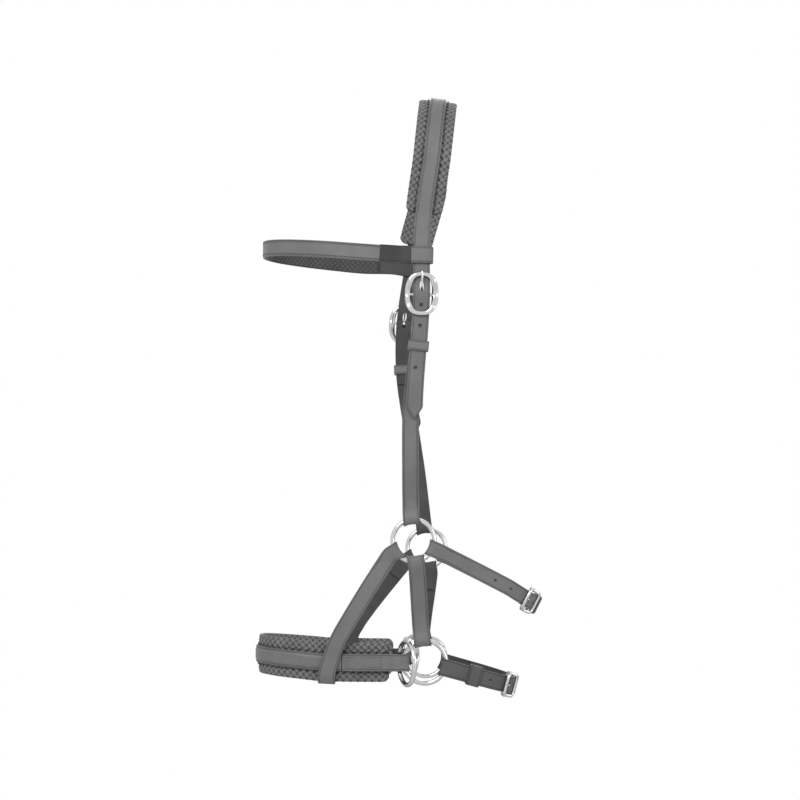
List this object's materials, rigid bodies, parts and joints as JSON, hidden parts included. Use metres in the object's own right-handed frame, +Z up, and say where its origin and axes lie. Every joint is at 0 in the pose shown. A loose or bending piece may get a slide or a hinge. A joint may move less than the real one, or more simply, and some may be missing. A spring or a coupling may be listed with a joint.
{
  "type": "sidepull bridle",
  "caption": "Bitless sidepull bridle in dark leather with braided crown and nose pads, buckled cheeks, jaw and chin straps, and bright metal rings at cheeks and rein points.",
  "frame": {"origin": "underside of the crown pad at its top centre, where it rests on the poll", "axes": "+Z up, +X towards the back of the head, -Y towards the near side"},
  "size_m": [0.2976, 0.214, 0.6254],
  "materials": {
    "browband_lining": "woven, matt",
    "browband_patch": "matt",
    "browband_strap": "matt, washed black",
    "chin_buckle": "polished",
    "chin_buckle_strap": "matt, washed black",
    "chin_keeper": "matt, washed black",
    "chin_ring_keeper": "matt, washed black",
    "chin_strap": "matt, washed black",
    "chin_tongue": "polished",
    "crown_pad": "braided, matt",
    "crown_strap": "matt, washed black",
    "far_browband_loop": "matt, washed black",
    "far_cheek_buckle": "polished",
    "far_cheek_keeper": "matt, washed black",
    "far_cheek_tongue": "polished",
    "far_cheekpiece": "matt, washed black",
    "far_diagonal_strap": "matt, washed black",
    "far_lower_ring": "polished",
    "far_noseband_end": "matt, washed black",
    "far_rein_ring": "polished",
    "far_upper_ring": "polished",
    "far_vertical_strap": "matt, washed black",
    "jaw_buckle": "polished",
    "jaw_buckle_strap": "matt, washed black",
    "jaw_keeper": "matt, washed black",
    "jaw_strap": "matt, washed black",
    "jaw_tongue": "polished",
    "near_browband_loop": "matt, washed black",
    "near_cheek_buckle": "polished",
    "near_cheek_keeper": "matt, washed black",
    "near_cheek_tongue": "polished",
    "near_cheekpiece": "matt, washed black",
    "near_diagonal_strap": "matt, washed black",
    "near_lower_ring": "polished",
    "near_noseband_end": "matt, washed black",
    "near_rein_ring": "polished",
    "near_upper_ring": "polished",
    "near_vertical_strap": "matt, washed black",
    "noseband_pad": "braided, matt",
    "noseband_strap": "matt, washed black"
  },
  "bodies": {
    "headstall": {"crown_strap": "crown_strap", "crown_pad": "crown_pad", "browband_strap": "browband_strap", "browband_lining": "browband_lining", "browband_patch": "browband_patch", "near_browband_loop": "near_browband_loop", "far_browband_loop": "far_browband_loop", "near_cheek_buckle": "near_cheek_buckle", "far_cheek_buckle": "far_cheek_buckle", "near_cheekpiece": "near_cheekpiece", "far_cheekpiece": "far_cheekpiece"},
    "nosepart": {"noseband_strap": "noseband_strap", "noseband_pad": "noseband_pad", "near_noseband_end": "near_noseband_end", "far_noseband_end": "far_noseband_end", "near_diagonal_strap": "near_diagonal_strap", "far_diagonal_strap": "far_diagonal_strap", "near_vertical_strap": "near_vertical_strap", "far_vertical_strap": "far_vertical_strap"},
    "jaw_loop": {"jaw_strap": "jaw_strap", "jaw_buckle_strap": "jaw_buckle_strap", "jaw_buckle": "jaw_buckle"},
    "chin_loop": {"chin_strap": "chin_strap", "chin_buckle_strap": "chin_buckle_strap", "chin_buckle": "chin_buckle"},
    "near_cheek_tongue_body": {"near_cheek_tongue": "near_cheek_tongue"},
    "far_cheek_tongue_body": {"far_cheek_tongue": "far_cheek_tongue"},
    "near_cheek_keeper_body": {"near_cheek_keeper": "near_cheek_keeper"},
    "far_cheek_keeper_body": {"far_cheek_keeper": "far_cheek_keeper"},
    "near_upper_ring_body": {"near_upper_ring": "near_upper_ring"},
    "far_upper_ring_body": {"far_upper_ring": "far_upper_ring"},
    "near_lower_ring_body": {"near_lower_ring": "near_lower_ring"},
    "far_lower_ring_body": {"far_lower_ring": "far_lower_ring"},
    "near_rein_ring_body": {"near_rein_ring": "near_rein_ring"},
    "far_rein_ring_body": {"far_rein_ring": "far_rein_ring"},
    "jaw_tongue_body": {"jaw_tongue": "jaw_tongue"},
    "jaw_keeper_body": {"jaw_keeper": "jaw_keeper"},
    "chin_tongue_body": {"chin_tongue": "chin_tongue"},
    "chin_keeper_body": {"chin_keeper": "chin_keeper"},
    "chin_ring_keeper_body": {"chin_ring_keeper": "chin_ring_keeper"}
  },
  "joints": [
    {"name": "noseband_swing", "type": "hinge", "parent": "headstall", "child": "nosepart", "pos_m": [-0.0266, -0.072, -0.4581], "axis": [-0.1069, -0.9927, 0.0565], "range_deg": [-15, 15]},
    {"name": "jaw_strap_swing", "type": "hinge", "parent": "nosepart", "child": "jaw_loop", "pos_m": [-0.0266, -0.072, -0.4581], "axis": [-0.1069, -0.9927, 0.0565], "range_deg": [0, 40]},
    {"name": "chin_strap_swing", "type": "hinge", "parent": "nosepart", "child": "chin_loop", "pos_m": [-0.0152, -0.066, -0.5789], "axis": [-0.025, -0.9991, 0.0348], "range_deg": [-45, 25]},
    {"name": "near_upper_ring_spin", "type": "hinge", "parent": "headstall", "child": "near_upper_ring_body", "pos_m": [-0.0266, -0.072, -0.4581], "axis": [-0.1069, -0.9927, 0.0565], "continuous": true},
    {"name": "near_lower_ring_spin", "type": "hinge", "parent": "nosepart", "child": "near_lower_ring_body", "pos_m": [-0.0152, -0.066, -0.5789], "axis": [-0.025, -0.9991, 0.0348], "continuous": true},
    {"name": "near_rein_ring_swing", "type": "hinge", "parent": "nosepart", "child": "near_rein_ring_body", "pos_m": [-0.04138, -0.06538, -0.57959], "axis": [0.025, -0.0354, -0.9991], "range_deg": [-35, 35]},
    {"name": "near_cheek_tongue_play", "type": "hinge", "parent": "headstall", "child": "near_cheek_tongue_body", "pos_m": [-0.0184, -0.0876, -0.2116], "axis": [-0.9994, 0, 0.0336], "range_deg": [-4, 0]},
    {"name": "near_cheek_keeper_slide", "type": "slide", "parent": "headstall", "child": "near_cheek_keeper_body", "axis": [0.105, -0.0451, 0.9934], "range_m": [-0.003, 0.006]},
    {"name": "far_upper_ring_spin", "type": "hinge", "parent": "headstall", "child": "far_upper_ring_body", "pos_m": [-0.0111, 0.072, -0.4663], "axis": [0.1069, 0.9927, -0.0565], "continuous": true},
    {"name": "far_lower_ring_spin", "type": "hinge", "parent": "nosepart", "child": "far_lower_ring_body", "pos_m": [-0.0119, 0.066, -0.5835], "axis": [0.025, 0.9991, -0.0348], "continuous": true},
    {"name": "far_rein_ring_swing", "type": "hinge", "parent": "nosepart", "child": "far_rein_ring_body", "pos_m": [-0.03809, 0.06674, -0.58356], "axis": [0.0009, -0.0349, -0.9994], "range_deg": [-35, 35]},
    {"name": "far_cheek_tongue_play", "type": "hinge", "parent": "headstall", "child": "far_cheek_tongue_body", "pos_m": [-0.0356, 0.0876, -0.21602], "axis": [-0.9971, 0.0004, 0.0755], "range_deg": [0, 4]},
    {"name": "far_cheek_keeper_slide", "type": "slide", "parent": "headstall", "child": "far_cheek_keeper_body", "axis": [-0.0517, 0.045, 0.9976], "range_m": [-0.003, 0.006]},
    {"name": "jaw_tongue_play", "type": "hinge", "parent": "jaw_loop", "child": "jaw_tongue_body", "pos_m": [0.08726, -0.05294, -0.51651], "axis": [0.4826, 0.0356, 0.8751], "range_deg": [0, 4]},
    {"name": "jaw_keeper_slide", "type": "slide", "parent": "jaw_loop", "child": "jaw_keeper_body", "axis": [0.178, 0.9787, -0.1026], "range_m": [-0.002, 0.002]},
    {"name": "chin_tongue_play", "type": "hinge", "parent": "chin_loop", "child": "chin_tongue_body", "pos_m": [0.06636, -0.04184, -0.60219], "axis": [0.2782, 0.0205, 0.9603], "range_deg": [0, 4]},
    {"name": "chin_keeper_slide", "type": "slide", "parent": "chin_loop", "child": "chin_keeper_body", "axis": [0.126, 0.9901, -0.0626], "range_m": [-0.002, 0.002]},
    {"name": "chin_ring_keeper_slide", "type": "slide", "parent": "chin_loop", "child": "chin_ring_keeper_body", "axis": [0.9479, 0.1725, -0.2677], "range_m": [0, 0.006]}
  ]
}
